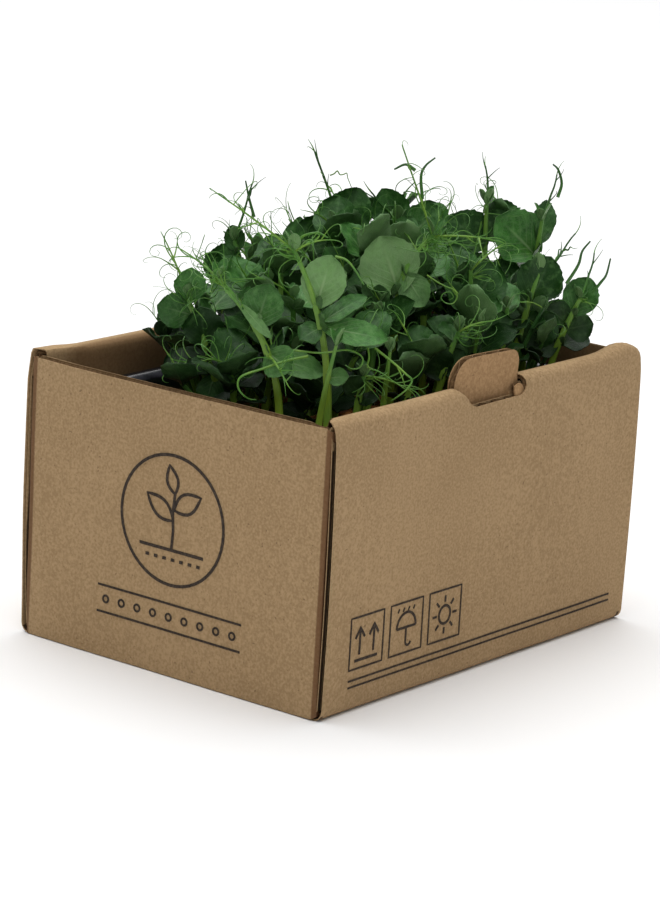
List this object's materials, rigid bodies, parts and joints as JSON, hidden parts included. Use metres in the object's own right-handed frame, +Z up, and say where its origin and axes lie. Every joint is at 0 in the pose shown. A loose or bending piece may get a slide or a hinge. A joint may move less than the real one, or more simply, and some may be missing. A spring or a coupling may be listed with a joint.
{
  "type": "pea shoot microgreens tray",
  "caption": "Folded kraft carton holding a black growing tray, a sown growing mat and living pea shoots with leaves and tendrils.",
  "frame": {"origin": "middle of the carton's underside", "axes": "+X along the two long rolled walls, -Y out of the notched long wall, +Z up"},
  "size_m": [0.188, 0.143, 0.1876],
  "materials": {
    "kraft_board": "uncoated brown kraft paper, matt, with fibre flecks",
    "black_plastic": "glossy thermoformed sheet",
    "growing_mat": "damp dark brown coir with orange-brown peas",
    "pea_shoot": "waxy green leaf, paler below, yellow-green stem"
  },
  "bodies": {
    "root": {"carton": "kraft_board", "growing_mat": "growing_mat", "shoot_01": "pea_shoot", "shoot_02": "pea_shoot", "shoot_03": "pea_shoot", "shoot_04": "pea_shoot", "shoot_05": "pea_shoot", "shoot_06": "pea_shoot", "shoot_07": "pea_shoot", "shoot_08": "pea_shoot", "shoot_09": "pea_shoot", "shoot_10": "pea_shoot", "shoot_11": "pea_shoot", "shoot_12": "pea_shoot", "shoot_13": "pea_shoot", "shoot_14": "pea_shoot", "shoot_15": "pea_shoot", "shoot_16": "pea_shoot", "shoot_17": "pea_shoot", "shoot_18": "pea_shoot", "shoot_19": "pea_shoot", "shoot_20": "pea_shoot", "shoot_21": "pea_shoot", "shoot_22": "pea_shoot", "shoot_23": "pea_shoot", "shoot_24": "pea_shoot", "shoot_25": "pea_shoot", "shoot_26": "pea_shoot", "shoot_27": "pea_shoot", "shoot_28": "pea_shoot", "shoot_29": "pea_shoot", "shoot_30": "pea_shoot", "shoot_31": "pea_shoot", "shoot_32": "pea_shoot", "shoot_33": "pea_shoot", "shoot_34": "pea_shoot", "shoot_35": "pea_shoot", "shoot_36": "pea_shoot", "shoot_37": "pea_shoot", "shoot_38": "pea_shoot", "shoot_39": "pea_shoot", "shoot_40": "pea_shoot", "shoot_41": "pea_shoot", "shoot_42": "pea_shoot", "shoot_43": "pea_shoot", "shoot_44": "pea_shoot", "shoot_45": "pea_shoot", "tray": "black_plastic"}
  },
  "joints": []
}
